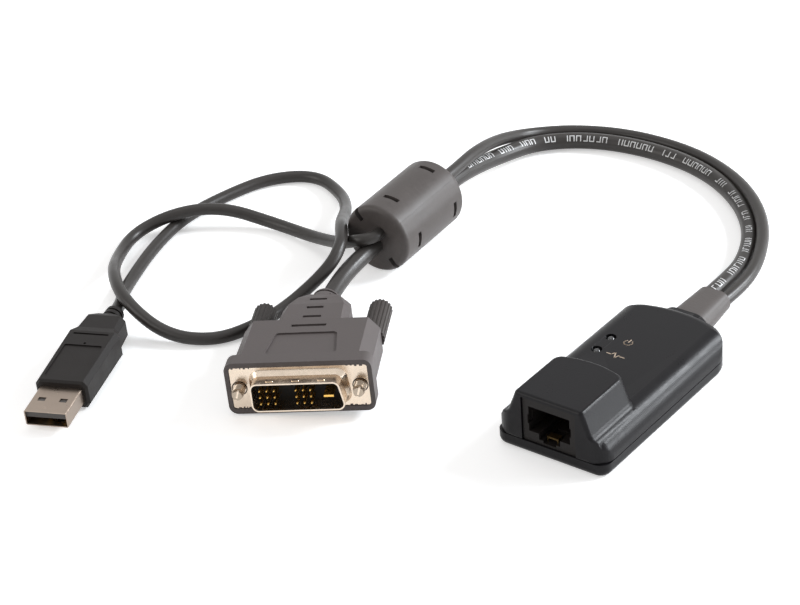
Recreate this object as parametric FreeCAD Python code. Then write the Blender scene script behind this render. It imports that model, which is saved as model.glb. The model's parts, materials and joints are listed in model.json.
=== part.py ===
import FreeCAD, Part
import math
import os

# Server interface dongle: a pod with a modular jack at one end and a double cable at the other.
# The two cables pass through one ferrite and end in a video plug and a USB plug.
# Millimetres. X across the pod, Y from the jack to the cables, Z up from the table.
# The origin is the middle of the pod's footprint, on the table.

V = FreeCAD.Vector
ALONG_Y = V(0, 1, 0)
UP = V(0, 0, 1)

# Pod shells
POD_WIDTH = 33.0
POD_LENGTH = 65.5
POD_TOP = 10.9
POD_WALL = 1.6
SEAM_Z = 3.86
SEAM_GAP = 0.25
FRONT_CORNER = 3.2
END_CORNER = 9.0
END_BOW = 34.0
LONG_EDGE_ROUND = 5.5
END_EDGE_ROUND = 3.0
FLOOR_EDGE_ROUND = 2.0
TONGUE_HEIGHT = 1.2
TONGUE_WALL = 0.75
TONGUE_CLEARANCE = 0.1
COLLAR_DEPTH = 1.1
COLLAR_WIDTH = 14.4
COLLAR_TOP = 9.6
COLLAR_ROUND = 4.4
FRONT_Y = -POD_LENGTH / 2
BACK_Y = POD_LENGTH / 2
END_Y = BACK_Y - COLLAR_DEPTH

# Hood over the jack
HOOD_LENGTH = 21.3
HOOD_TOP = 17.9
HOOD_TOP_HALF = 9.9
HOOD_REAR_BOW = 26.0
HOOD_SLOPE = 0.39
HOOD_REAR_SLOPE = 0.17
HOOD_WALL = 1.2
HOOD_ROUND = 1.0
HOOD_FOOT_ROUND = 1.6
HOOD_FOOT_DROP = 0.8
HOOD_FRONT_ROUND = 1.2
HOOD_REAR_CORNER = 3.0

# Jack
JACK_WIDTH = 15.7
JACK_HEIGHT = 12.5
JACK_DEPTH = 18.0
JACK_RECESS = 0.5
JACK_CLEARANCE = 0.2
SOCKET_HALF = 6.1
SOCKET_LOW = 3.0
SOCKET_HIGH = 10.3
SOCKET_DEPTH = 13.0
CHANNEL_HALF = 3.15
CHANNEL_LOW = 1.3
LATCH_HALF = 1.9
LATCH_LOW = 0.6
CONTACT_COUNT = 8
CONTACT_PITCH = 1.02
CONTACT_WIDTH = 0.45
CONTACT_THICKNESS = 0.3

# Board and what it carries
BOARD_THICKNESS = 1.6
BOARD_Z = 2.4
BOARD_GAP = 0.5
MAIN_CHIP_FROM_FRONT = 39.75
MEMORY_FROM_END = 14.55
HEADER_FROM_END = 6.35
HEADER_DEPTH = 4.0
FLOOR = 1.5
SCREW_X = 10.8
SCREW_Y = 18.0
SCREW_RADIUS = 1.0
SCREW_HEAD_RADIUS = 2.0
SCREW_HEAD_HEIGHT = 1.1
SCREW_TOP = 8.4
BOSS_RADIUS = 2.5
LED_X = -8.8
POWER_LED_Y = 9.85
ACTIVE_LED_Y = 3.05
LED_RADIUS = 1.3
LED_CLEARANCE = 0.2

# Cables
USB_CABLE = 3.57
VIDEO_CABLE = 4.95
ARC_SHARE = 0.45

# Sleeve that both cables leave the pod by
SLEEVE_ROOT = (12.0, 8.0)
SLEEVE_TIP = (10.0, 6.2)
SLEEVE_NECK = (10.2, 6.2)
SLEEVE_FLANGE = (13.0, 6.9, 2.0)
SLEEVE_LENGTH = 16.5
SLEEVE_Z = 4.2
SLEEVE_ROOT_X = -0.3
SLEEVE_TIP_X = -1.1
FIT = 0.1

# Ferrite on both cables
FERRITE_RADIUS = 10.25
FERRITE_LENGTH = 31.0
FERRITE_AT = (-93.3, 19.85)
FERRITE_TURN = 4.3
JACKET_WALL = 1.45
JACKET_END = 1.9
CORE_BORE = 5.0
CORE_CLEARANCE = 0.05
SLOT_WIDTH = 1.45
SLOT_SPAN = 28.0

# Video plug
VIDEO_AT = (-66.3, -48.75)
VIDEO_YAW = 29.61
VIDEO_TILT = -3.0
VIDEO_ROLL = -3.0
FRAME_WIDTH = 38.8
FRAME_HEIGHT = 15.06
FRAME_DEPTH = 4.3
FRAME_ROUND = 2.4
PLATE_WIDTH = 36.2
PLATE_HEIGHT = 12.0
PLATE_THICKNESS = 0.8
BODY_HALF = 18.3
BODY_HEIGHT = 6.85
BODY_END = 23.6
NECK_END = 41.0
SHIELD_REACH = 5.5
SHIELD_LEFT = -11.6
SHIELD_RIGHT_LOW = 12.35
SHIELD_RIGHT_HIGH = 10.9
SHIELD_HALF_HEIGHT = 3.75
SHIELD_WALL = 0.4
SHIELD_ROUND = 1.5
PIN_PITCH = 1.905
PIN_HALF = 0.3
PIN_CENTRE_X = -2.89
BLADE_X = 8.4
BLADE_WIDTH = 2.6
BLADE_THICKNESS = 0.6
RELIEF_RADIUS = 4.8
RELIEF_TIP_RADIUS = 4.0
RELIEF_END = 46.0

# Thumbscrews of the video plug
THUMB_X = 15.9
THUMB_THREAD_RADIUS = 1.42
THUMB_SHANK_RADIUS = 1.8
THUMB_HOLE_CLEARANCE = 0.3
THUMB_RUNNING = 0.08
THUMB_TIP = 3.5
THUMB_GROOVE = 0.4
KNOB_RADIUS = 3.2
KNOB_LENGTH = 16.5
KNOB_GAP = 0.15
KNOB_FLUTES = 18
KNOB_GRIP = 8.0

# USB plug
USB_AT = (-118.5, -89.7)
USB_YAW = 20.99
USB_TILT = 1.5
USB_ROLL = -2.0
USB_WIDTH = 12.0
USB_HEIGHT = 4.5
USB_METAL = 0.3
USB_REACH = 11.3
USB_INSERT = 6.5
USB_GRIP_HALF = 7.4
USB_GRIP_HEIGHT = 4.2
USB_WAIST_Y = 35.2
USB_BODY_END = 45.5
USB_RELIEF_RADIUS = 3.0
USB_RELIEF_END = 50.5

# Routes of the two cables, chosen point by point. Both start inside the sleeve.
USB_ROUTE = [
    (1.45, 46.8, 4.2), (2.6, 58.0, 4.5), (-0.6, 73.0, 4.8), (-8.6, 89.4, 5.3),
    (-21.4, 103.7, 5.0), (-38.3, 115.7, 3.2), (-56.0, 122.2, 1.8), (-74.5, 121.6, 1.8),
    (-90.0, 115.6, 1.9), (-99.2, 104.0, 3.6), (-99.6, 89.0, 8.4), (-97.0, 74.0, 12.2),
    (-94.99, 61.0, 12.85), (-91.72, 17.6, 12.85), (-93.25, 14.9, 12.7), (-96.2, 13.9, 11.9),
    (-101.0, 15.2, 9.3), (-108.0, 18.2, 6.0), (-119.0, 21.8, 2.8), (-133.5, 23.6, 1.8),
    (-148.5, 18.0, 5.9), (-158.5, 8.4, 5.9), (-165.8, -2.0, 2.2), (-160.5, -15.5, 2.4),
    (-148.9, -29.7, 7.7), (-135.8, -39.2, 7.7), (-120.5, -40.6, 2.4), (-107.5, -35.0, 1.8),
    (-102.6, -22.5, 1.8), (-101.0, -9.5, 2.4), (-95.4, 1.5, 10.0), (-97.0, 9.5, 13.6),
    (-103.2, 16.8, 13.0), (-109.2, 24.5, 9.6), (-117.0, 36.5, 5.0), (-127.0, 47.0, 2.0),
    (-141.0, 53.0, 1.8), (-152.5, 44.5, 1.8), (-157.2, 29.5, 1.8), (-159.6, 12.5, 1.8),
    (-155.8, -5.0, 1.8), (-150.2, -20.0, 1.8), (-145.6, -29.8, 2.4), (-138.8, -37.8, 5.0),
    (-135.0, -46.7, 5.4),
]
VIDEO_ROUTE = [
    (-2.95, 46.8, 4.2), (-3.0, 58.0, 4.0), (-5.0, 72.5, 2.8), (-12.6, 89.5, 2.5),
    (-26.3, 102.9, 2.5), (-43.5, 111.4, 2.5), (-62.0, 113.4, 2.5), (-79.5, 109.4, 2.5),
    (-92.5, 100.5, 2.6), (-97.6, 87.0, 4.4), (-97.5, 72.0, 7.2), (-96.7, 61.0, 8.45),
    (-93.06, 12.6, 8.45), (-91.8, 0.0, 7.2), (-87.55, -11.4, 6.6),
]


def box(x0, x1, y0, y1, z0, z1):
    return Part.makeBox(x1 - x0, y1 - y0, z1 - z0, V(x0, y0, z0))


def rod(radius, start, length, direction=ALONG_Y):
    return Part.makeCylinder(radius, length, start, direction)


def taper(radius_a, radius_b, start, length, direction=ALONG_Y):
    return Part.makeCone(radius_a, radius_b, length, start, direction)


def prism(points, travel):
    wire = Part.makePolygon([V(*point) for point in points + points[:1]])
    return Part.Face(wire).extrude(travel)


def octagon(half_width, half_height, cut_x, cut_z, y, x=0.0, z=0.0):
    """Upright rectangle at y with its four corners cut off."""
    w, h = half_width, half_height
    corners = [(w, h - cut_z), (w - cut_x, h), (cut_x - w, h), (-w, h - cut_z),
               (-w, cut_z - h), (cut_x - w, -h), (w - cut_x, -h), (w, cut_z - h)]
    return Part.makePolygon([V(x + a, y, z + b) for a, b in corners + corners[:1]])


def rounded_slab(width, height, radius, y0, y1, x=0.0, z=0.0):
    """Upright rectangle with round corners, drawn along y."""
    slab = box(x - width / 2, x + width / 2, y0, y1, z - height / 2, z + height / 2)
    return slab.makeFillet(radius, edges_along(slab, ALONG_Y))


def edges_along(shape, direction):
    """Straight edges that run in a direction."""
    found = []
    for edge in shape.Edges:
        if not isinstance(edge.Curve, Part.Line):
            continue
        if abs(edge.Curve.Direction.dot(direction)) > 0.999:
            found.append(edge)
    return found


def edges_at_height(shape, z):
    return [edge for edge in shape.Edges
            if abs(edge.BoundBox.ZMin - z) < 1e-4 and abs(edge.BoundBox.ZMax - z) < 1e-4]


def joined(shapes):
    return shapes[0].fuse(shapes[1:]).removeSplitter()


def oval_wire(width, height, x, y, z):
    """Flat oval across y, with half-round ends."""
    r = height / 2
    a = width / 2 - r
    top = Part.LineSegment(V(x - a, y, z + r), V(x + a, y, z + r))
    right = Part.Arc(V(x + a, y, z + r), V(x + a + r, y, z), V(x + a, y, z - r))
    low = Part.LineSegment(V(x + a, y, z - r), V(x - a, y, z - r))
    left = Part.Arc(V(x - a, y, z - r), V(x - a - r, y, z), V(x - a, y, z + r))
    return Part.Wire([curve.toShape() for curve in (top, right, low, left)])


# ---------------------------------------------------------------- pod


def pod_block(inset, z0, z1, front_y=FRONT_Y):
    """Plan of the pod drawn up: round front corners and a bowed end."""
    half = POD_WIDTH / 2 - inset
    front = front_y + inset
    bow = END_BOW - inset
    bow_y = END_Y - END_BOW
    side_y = bow_y + math.sqrt(bow * bow - half * half)
    ends = [V(-half, side_y, z0), V(0, bow_y + bow, z0), V(half, side_y, z0)]
    lines = [Part.LineSegment(ends[2], V(half, front, z0)),
             Part.LineSegment(V(half, front, z0), V(-half, front, z0)),
             Part.LineSegment(V(-half, front, z0), ends[0]),
             Part.Arc(*ends)]
    plan = Part.Face(Part.Wire([line.toShape() for line in lines]))
    block = plan.extrude(V(0, 0, z1 - z0))
    front_edges = [edge for edge in edges_along(block, UP) if edge.BoundBox.YMax < 0]
    block = block.makeFillet(FRONT_CORNER - inset, front_edges)
    end_edges = [edge for edge in edges_along(block, UP)
                 if edge.BoundBox.YMin > 0 and abs(abs(edge.BoundBox.XMax) - half) < 1e-3]
    return block.makeFillet(END_CORNER - inset, end_edges)


def pod_crown(inset, z0):
    """Upper form of the pod: every top edge round, the long ones most."""
    top = POD_TOP - inset
    half = POD_WIDTH / 2 - inset
    front = FRONT_Y + inset
    bar = box(-half, half, front, BACK_Y + 1, z0 - LONG_EDGE_ROUND, top)
    long_edges = [edge for edge in edges_along(bar, ALONG_Y) if edge.BoundBox.ZMin > z0]
    bar = bar.makeFillet(LONG_EDGE_ROUND - inset, long_edges)
    arch = [edge for edge in bar.Edges
            if edge.BoundBox.YMax < front + 1e-3 and edge.BoundBox.ZMax > z0]
    bar = bar.makeFillet(FRONT_CORNER - inset, arch)
    block = pod_block(inset, z0, top, FRONT_Y - POD_WIDTH)
    block = block.makeFillet(END_EDGE_ROUND - inset, edges_at_height(block, top))
    return block.common(bar)


def hood_wire(half, back, z, front_round, rear_round, bow):
    """Plan of the hood at one height: round corners and a bowed rear side."""
    front = FRONT_Y
    bow_y = back - bow
    corner_y = bow_y + math.sqrt((bow - rear_round) ** 2 - (half - rear_round) ** 2)
    reach = V(half - rear_round, corner_y - bow_y, 0).normalize() * bow
    snip = front_round * (1 - math.sqrt(0.5))
    lean = V(half - rear_round, corner_y, 0)
    middle = (V(1, 0, 0) + V(reach).normalize()).normalize() * rear_round + lean
    right = [V(half - front_round, front, z), V(half - snip, front + snip, z),
             V(half, front + front_round, z), V(half, corner_y, z),
             V(middle.x, middle.y, z), V(reach.x, bow_y + reach.y, z)]
    left = [V(-point.x, point.y, z) for point in right]
    curves = [Part.LineSegment(left[0], right[0]), Part.Arc(*right[:3]),
              Part.LineSegment(right[2], right[3]), Part.Arc(*right[3:]),
              Part.Arc(right[5], V(0, back, z), left[5]), Part.Arc(*left[:2:-1]),
              Part.LineSegment(left[3], left[2]), Part.Arc(*left[2::-1])]
    return Part.Wire([curve.toShape() for curve in curves])


def hood_form(inset, foot_round, edge_round):
    """Raised cover over the jack: sloping sides, flush front and a hollow curve at its foot."""
    low = SEAM_Z + TONGUE_HEIGHT
    foot = POD_TOP - HOOD_FOOT_DROP
    rows = [(HOOD_TOP - inset, 0)]
    for angle in (0, 30, 55, 80):
        turn = math.radians(angle)
        rows.append((foot + foot_round * (1 - math.sin(turn)), foot_round * (1 - math.cos(turn))))
    rows.append((low, rows[-1][1]))
    wires = []
    for z, outset in rows:
        drop = HOOD_TOP - z
        half = HOOD_TOP_HALF + HOOD_SLOPE * drop - inset + outset
        back = FRONT_Y + HOOD_LENGTH + HOOD_REAR_SLOPE * drop - inset + outset
        wires.append(hood_wire(half, back, z, HOOD_FRONT_ROUND, HOOD_REAR_CORNER - inset + outset,
                               HOOD_REAR_BOW - inset + outset))
    form = Part.makeLoft(wires, True, True)
    form = form.makeFillet(edge_round, edges_at_height(form, HOOD_TOP - inset))
    return form.common(box(-POD_WIDTH, POD_WIDTH, FRONT_Y + inset, BACK_Y, low, HOOD_TOP))


def collar(z0, z1):
    """Arched lip round the cable exit, part of both shells."""
    arch = box(-COLLAR_WIDTH / 2, COLLAR_WIDTH / 2, END_Y - 4 * COLLAR_DEPTH, BACK_Y, 0, COLLAR_TOP)
    tops = [edge for edge in edges_along(arch, ALONG_Y) if edge.BoundBox.ZMin > SEAM_Z]
    arch = arch.makeFillet(COLLAR_ROUND, tops)
    feet = [edge for edge in edges_along(arch, ALONG_Y) if edge.BoundBox.ZMax < 1e-3]
    arch = arch.makeFillet(FLOOR_EDGE_ROUND, feet)
    return arch.common(box(-POD_WIDTH, POD_WIDTH, FRONT_Y, BACK_Y + 1, z0, z1))


def flange_back():
    """Where the sleeve's flange meets the bowed end wall from inside."""
    bow = END_BOW - POD_WALL
    reach = SLEEVE_FLANGE[0] / 2 + abs(SLEEVE_ROOT_X)
    return END_Y - END_BOW + math.sqrt(bow * bow - reach * reach) - FIT


def sleeve_neck(clearance):
    width, height = SLEEVE_NECK
    wire = oval_wire(width + 2 * clearance, height + 2 * clearance,
                     SLEEVE_ROOT_X, flange_back(), SLEEVE_Z)
    return Part.Face(wire).extrude(V(0, BACK_Y - flange_back(), 0))


def screw_spots():
    return [V(side * SCREW_X, SCREW_Y, 0) for side in (-1, 1)]


def jack_block(clearance):
    half = JACK_WIDTH / 2 + clearance
    front = FRONT_Y - 1 if clearance else FRONT_Y + JACK_RECESS
    low = BOARD_Z + BOARD_THICKNESS
    return box(-half, half, front, FRONT_Y + JACK_RECESS + JACK_DEPTH,
               low - clearance, low + JACK_HEIGHT + clearance)


def upper_shell():
    outer = joined([pod_crown(0, SEAM_Z + SEAM_GAP), hood_form(0, HOOD_FOOT_ROUND, HOOD_ROUND)])
    outer = outer.common(box(-POD_WIDTH, POD_WIDTH, FRONT_Y, BACK_Y, SEAM_Z + SEAM_GAP, HOOD_TOP))
    outer = joined([outer, collar(SEAM_Z + SEAM_GAP, POD_TOP)])
    hollow = joined([pod_crown(POD_WALL, SEAM_Z - 1), hood_form(HOOD_WALL, HOOD_FOOT_ROUND / 2, HOOD_ROUND / 2)])
    rebate = pod_block(POD_WALL - TONGUE_WALL - TONGUE_CLEARANCE, SEAM_Z,
                       SEAM_Z + TONGUE_HEIGHT + TONGUE_CLEARANCE)
    shell = outer.cut(hollow.fuse(rebate))
    bosses = []
    for spot in screw_spots():
        low = BOARD_Z + BOARD_THICKNESS
        boss = rod(BOSS_RADIUS, spot + V(0, 0, low), POD_TOP - low, UP)
        bosses.append(boss.common(pod_crown(POD_WALL / 2, SEAM_Z - 1)))
    shell = joined([shell] + bosses)
    for spot in screw_spots():
        shell = shell.cut(rod(SCREW_RADIUS, spot, SCREW_TOP, UP))
    for y in (POWER_LED_Y, ACTIVE_LED_Y):
        shell = shell.cut(rod(LED_RADIUS + LED_CLEARANCE, V(LED_X, y, SEAM_Z), POD_TOP, UP))
    return shell.cut(jack_block(JACK_CLEARANCE)).cut(sleeve_neck(FIT))


def lower_shell():
    tray = pod_block(0, 0, SEAM_Z)
    tray = tray.makeFillet(FLOOR_EDGE_ROUND, edges_at_height(tray, 0))
    tray = joined([tray, collar(0, SEAM_Z)])
    tray = tray.cut(pod_block(POD_WALL, FLOOR, POD_TOP))
    tongue = pod_block(POD_WALL - TONGUE_WALL, SEAM_Z - 1, SEAM_Z + TONGUE_HEIGHT)
    tongue = tongue.cut(pod_block(POD_WALL, SEAM_Z - 2, POD_TOP))
    tongue = tongue.cut(jack_block(JACK_CLEARANCE + TONGUE_CLEARANCE))
    posts = []
    for spot in screw_spots() + [V(-SCREW_X, FRONT_Y / 2, 0), V(SCREW_X, FRONT_Y / 2, 0)]:
        posts.append(rod(BOSS_RADIUS, spot + V(0, 0, FLOOR / 2), BOARD_Z - FLOOR / 2, UP))
    tray = joined([tray, tongue] + posts)
    for spot in screw_spots():
        tray = tray.cut(rod(SCREW_RADIUS + FIT, spot, BOARD_Z, UP))
        tray = tray.cut(rod(SCREW_HEAD_RADIUS + FIT, spot, SCREW_HEAD_HEIGHT + FIT, UP))
    return tray.cut(sleeve_neck(FIT))


def shell_screws():
    screws = []
    for spot in screw_spots():
        head = rod(SCREW_HEAD_RADIUS, spot + V(0, 0, FIT), SCREW_HEAD_HEIGHT, UP)
        shank = rod(SCREW_RADIUS, spot + V(0, 0, FIT), SCREW_TOP - 2 * FIT, UP)
        arm = SCREW_HEAD_RADIUS * 0.6
        cross = box(-arm, arm, -0.2, 0.2, 0, 0.6).fuse(box(-0.2, 0.2, -arm, arm, 0, 0.6))
        cross.translate(spot)
        screws.append(joined([head, shank]).cut(cross))
    return Part.makeCompound(screws)


def circuit_board():
    board = pod_block(POD_WALL + BOARD_GAP, BOARD_Z, BOARD_Z + BOARD_THICKNESS)
    flange_front = flange_back() - SLEEVE_FLANGE[2] - FIT
    board = board.cut(box(-POD_WIDTH, POD_WIDTH, flange_front, BACK_Y, 0, POD_TOP))
    for spot in screw_spots():
        board = board.cut(rod(SCREW_RADIUS + FIT, spot, POD_TOP, UP))
    return board


# ---------------------------------------------------------------- jack


def contact_spots():
    middle = (CONTACT_COUNT - 1) / 2
    return [(index - middle) * CONTACT_PITCH for index in range(CONTACT_COUNT)]


def contact_height():
    """Level of the contact wires' run along the socket's roof."""
    return BOARD_Z + BOARD_THICKNESS + SOCKET_HIGH + 0.5


def jack_housing():
    base = BOARD_Z + BOARD_THICKNESS
    front = FRONT_Y + JACK_RECESS
    back = front + JACK_DEPTH
    body = jack_block(0)
    body = body.makeFillet(0.4, edges_along(body, ALONG_Y))
    socket = box(-SOCKET_HALF, SOCKET_HALF, front, front + SOCKET_DEPTH,
                 base + SOCKET_LOW, base + SOCKET_HIGH)
    channel = box(-CHANNEL_HALF, CHANNEL_HALF, front, front + SOCKET_DEPTH,
                  base + CHANNEL_LOW, base + SOCKET_LOW)
    latch = box(-LATCH_HALF, LATCH_HALF, front, front + SOCKET_DEPTH / 2,
                base + LATCH_LOW, base + CHANNEL_LOW)
    notch = box(-SOCKET_HALF - 0.35, SOCKET_HALF + 0.35, front, front + 2.0,
                base + 5.2, base + 7.8)
    body = body.cut(joined([socket, channel, latch, notch]))
    for x in contact_spots():
        half = CONTACT_WIDTH / 2 + FIT
        roof = contact_height() + CONTACT_THICKNESS + FIT
        body = body.cut(box(x - half, x + half, front + 1.6, back, base + SOCKET_HIGH, roof))
        body = body.cut(box(x - half, x + half, back - 0.6, back, base, roof))
    return body


def jack_contacts():
    """Sprung wires: up the back, along the roof and down into the socket."""
    front = FRONT_Y + JACK_RECESS
    back = front + JACK_DEPTH
    high = contact_height()
    foot = BOARD_Z + BOARD_THICKNESS
    thick = CONTACT_THICKNESS
    side = [(back, foot), (back, high + thick), (front + 2.0, high + thick),
            (front + 1.7, high), (front + 2.0, high - 0.5), (front + 9.0, high - 2.9),
            (front + 9.2, high - 2.6), (front + 2.7, high - 0.3), (front + 2.6, high),
            (back - thick, high), (back - thick, foot)]
    wires = []
    for x in contact_spots():
        left = x - CONTACT_WIDTH / 2
        wires.append(prism([(left, y, z) for y, z in side], V(CONTACT_WIDTH, 0, 0)))
    return Part.makeCompound(wires)


def jack_ground_clip():
    """Folded brass strip that stands on the latch channel's floor."""
    front = FRONT_Y + JACK_RECESS
    floor = BOARD_Z + BOARD_THICKNESS + LATCH_LOW
    half = LATCH_HALF - 0.2
    clip = box(-half, half, front + 1.4, front + 3.4, floor, floor + 1.5)
    return clip.cut(box(0.4 - half, half - 0.4, front + 1.4, front + 3.4, floor, floor + 1.0))


# ---------------------------------------------------------------- on the board


def legged_chip(width, length, height, leg_count, x, y, all_sides):
    """Flat moulded chip with bent legs, standing on the board."""
    base = BOARD_Z + BOARD_THICKNESS
    body = box(x - width / 2, x + width / 2, y - length / 2, y + length / 2,
               base + 0.15, base + height)
    legs = []
    pitch = (width - 1.6) / (leg_count - 1)
    for index in range(leg_count):
        across = x - width / 2 + 0.8 + index * pitch
        legs.append(box(across - 0.2, across + 0.2, y - length / 2 - 0.9, y + length / 2 + 0.9,
                        base, base + 0.5))
    if all_sides:
        pitch = (length - 1.6) / (leg_count - 1)
        for index in range(leg_count):
            along = y - length / 2 + 0.8 + index * pitch
            legs.append(box(x - width / 2 - 0.9, x + width / 2 + 0.9, along - 0.2, along + 0.2,
                            base, base + 0.5))
    return joined([body] + legs)


def line_transformer():
    y = FRONT_Y + JACK_RECESS + JACK_DEPTH + 6.4
    return legged_chip(12.6, 8.0, 4.6, 8, 0.0, y, False)


def main_chip():
    return legged_chip(11.0, 11.0, 1.5, 7, 1.6, FRONT_Y + MAIN_CHIP_FROM_FRONT, True)


def memory_chip():
    return legged_chip(8.0, 5.0, 1.2, 7, 1.0, BACK_Y - MEMORY_FROM_END, False)


def crystal():
    base = BOARD_Z + BOARD_THICKNESS
    can = box(9.2, 12.4, 3.0, 8.0, base, base + 1.4)
    return can.makeFillet(0.6, edges_along(can, UP))


def wire_header():
    """Socket strip that the cables' conductors end in."""
    base = BOARD_Z + BOARD_THICKNESS
    back = BACK_Y - HEADER_FROM_END
    strip = box(-6.5, 6.5, back - HEADER_DEPTH, back, base, base + 3.6)
    for index in range(6):
        x = -5.0 + 2.0 * index
        strip = strip.cut(box(x - 0.6, x + 0.6, back - HEADER_DEPTH / 2, back, base + 1.0, base + 2.6))
    return strip


def status_led(y):
    """Round lamp whose dome stands in the hole of the upper shell."""
    base = BOARD_Z + BOARD_THICKNESS
    height = POD_TOP - LED_RADIUS - base
    stem = rod(LED_RADIUS, V(LED_X, y, base), height, UP)
    dome = Part.makeSphere(LED_RADIUS, V(LED_X, y, base + height))
    flange = rod(LED_RADIUS + 0.3, V(LED_X, y, base), 1.0, UP)
    return joined([stem, dome, flange])


# ---------------------------------------------------------------- sleeve and ferrite


def cable_sleeve():
    """Soft oval sleeve, gripped by the shells between its flange and its shoulder."""
    root = oval_wire(SLEEVE_ROOT[0], SLEEVE_ROOT[1], SLEEVE_ROOT_X, BACK_Y + FIT, SLEEVE_Z)
    tip = oval_wire(SLEEVE_TIP[0], SLEEVE_TIP[1], SLEEVE_TIP_X, BACK_Y + SLEEVE_LENGTH, SLEEVE_Z)
    horn = Part.makeLoft([root, tip], True, True)
    neck = sleeve_neck(0)
    neck = neck.fuse(neck.translated(V(0, FIT, 0)))
    flange = rounded_slab(SLEEVE_FLANGE[0], SLEEVE_FLANGE[1], 1.5, flange_back() - SLEEVE_FLANGE[2],
                          flange_back(), SLEEVE_ROOT_X, FLOOR + FIT + SLEEVE_FLANGE[1] / 2)
    return joined([horn, neck, flange])


def ferrite_place(shape):
    shape.rotate(V(0, 0, 0), UP, FERRITE_TURN)
    shape.translate(V(FERRITE_AT[0], FERRITE_AT[1], FERRITE_RADIUS))
    return shape


def ferrite_core():
    radius = FERRITE_RADIUS - JACKET_WALL - CORE_CLEARANCE
    length = FERRITE_LENGTH - 2 * JACKET_END
    core = rod(radius, V(0, JACKET_END, 0), length)
    core = core.cut(rod(CORE_BORE, V(0, JACKET_END, 0), length))
    return ferrite_place(core)


def ring_slot(y, middle_angle):
    """Short slot round the jacket, down to the core."""
    start = V(0, y - SLOT_WIDTH / 2, 0)
    outer = Part.makeCylinder(FERRITE_RADIUS + 1, SLOT_WIDTH, start, ALONG_Y, SLOT_SPAN)
    slot = outer.cut(rod(FERRITE_RADIUS - JACKET_WALL, start, SLOT_WIDTH))
    slot.rotate(V(0, 0, 0), ALONG_Y, -middle_angle - SLOT_SPAN / 2)
    return slot


def face_slot(y, angle):
    """Radial slot through an end wall of the jacket."""
    slot = box(6.6, FERRITE_RADIUS + 1, y, y + JACKET_END, -SLOT_WIDTH / 2, SLOT_WIDTH / 2)
    slot.rotate(V(0, 0, 0), ALONG_Y, -angle)
    return slot


def ferrite_jacket():
    jacket = rod(FERRITE_RADIUS, V(0, 0, 0), FERRITE_LENGTH)
    rims = [edge for edge in jacket.Edges if isinstance(edge.Curve, Part.Circle)]
    jacket = jacket.makeFillet(1.5, rims)
    core_length = FERRITE_LENGTH - 2 * JACKET_END
    jacket = jacket.cut(rod(FERRITE_RADIUS - JACKET_WALL, V(0, JACKET_END, 0), core_length))
    for y in (7.1, FERRITE_LENGTH - 4.9):
        for angle in (83, -7, -97, 173):
            jacket = jacket.cut(ring_slot(y, angle))
    for y in (0, FERRITE_LENGTH - JACKET_END):
        for angle in (-50, 130):
            jacket = jacket.cut(face_slot(y, angle))
    return ferrite_place(jacket)


# ---------------------------------------------------------------- video plug


def shield_wire(grow, y):
    """Outline of the video plug's mouth: one slanted end and round corners."""
    left = SHIELD_LEFT - grow
    low = -SHIELD_HALF_HEIGHT - grow
    high = SHIELD_HALF_HEIGHT + grow
    right_low = SHIELD_RIGHT_LOW + grow
    right_high = SHIELD_RIGHT_HIGH + grow
    corners = [V(left, 0, low), V(right_low, 0, low), V(right_high, 0, high), V(left, 0, high)]
    block = Part.Face(Part.makePolygon(corners + corners[:1])).extrude(V(0, 1, 0))
    block = block.makeFillet(SHIELD_ROUND + grow, edges_along(block, ALONG_Y))
    face = [face for face in block.Faces if face.BoundBox.YMax < 1e-4][0]
    return face.OuterWire.translated(V(0, y, 0))


def shield_block(grow, y0, y1):
    return Part.Face(shield_wire(grow, y0)).extrude(V(0, y1 - y0, 0))


def video_shield():
    """Drawn steel face: flat plate, flared root and the mouth's wall."""
    plate = rounded_slab(PLATE_WIDTH, PLATE_HEIGHT, 0.8, 0, PLATE_THICKNESS)
    flare = Part.makeLoft([shield_wire(1.5, 0), shield_wire(SHIELD_WALL, -1.5)], True, True)
    wall = shield_block(SHIELD_WALL, -SHIELD_REACH, 0)
    shield = joined([plate, flare, wall])
    shield = shield.cut(shield_block(0, -SHIELD_REACH, PLATE_THICKNESS))
    for side in (-1, 1):
        hole = rod(THUMB_SHANK_RADIUS + THUMB_HOLE_CLEARANCE, V(side * THUMB_X, 0, 0),
                   PLATE_THICKNESS)
        shield = shield.cut(hole)
    top = SHIELD_HALF_HEIGHT + SHIELD_WALL
    for x in (-6.9, -0.1, 6.7):
        for z in (-top, top):
            shield = shield.fuse(rounded_pill(x, z))
    return shield


def rounded_pill(x, z):
    """One of the raised dimples that make the mouth grip its mate."""
    pill = box(x - 1.0, x + 1.0, -4.45, -3.55, z - 0.2, z + 0.2)
    return pill.makeFillet(0.44, edges_along(pill, UP))


def video_insulator():
    block = shield_block(0, -0.3, PLATE_THICKNESS + 3.0)
    for x, z in pin_spots():
        block = block.cut(box(x - PIN_HALF, x + PIN_HALF, -0.3, 3.0, z - PIN_HALF, z + PIN_HALF))
    return block.cut(ground_blade().common(box(0, 20, -0.3, 3.0, -1, 1)))


def pin_spots():
    spots = []
    for column in (-3.5, -2.5, -1.5, 1.5, 2.5, 3.5):
        for row in (-1, 0, 1):
            spots.append((PIN_CENTRE_X + column * PIN_PITCH, row * PIN_PITCH))
    return spots


def video_pins():
    pins = []
    for x, z in pin_spots():
        stations = ((0.5, 0.05 - SHIELD_REACH), (0.9, 0.3 - SHIELD_REACH), (1.0, 0.8 - SHIELD_REACH),
                    (1.0, 3.0))
        outlines = [octagon(PIN_HALF * share, PIN_HALF * share, PIN_HALF * 0.3, PIN_HALF * 0.3, y, x, z)
                    for share, y in stations]
        pins.append(Part.makeLoft(outlines, True, True))
    return Part.makeCompound(pins)


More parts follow.
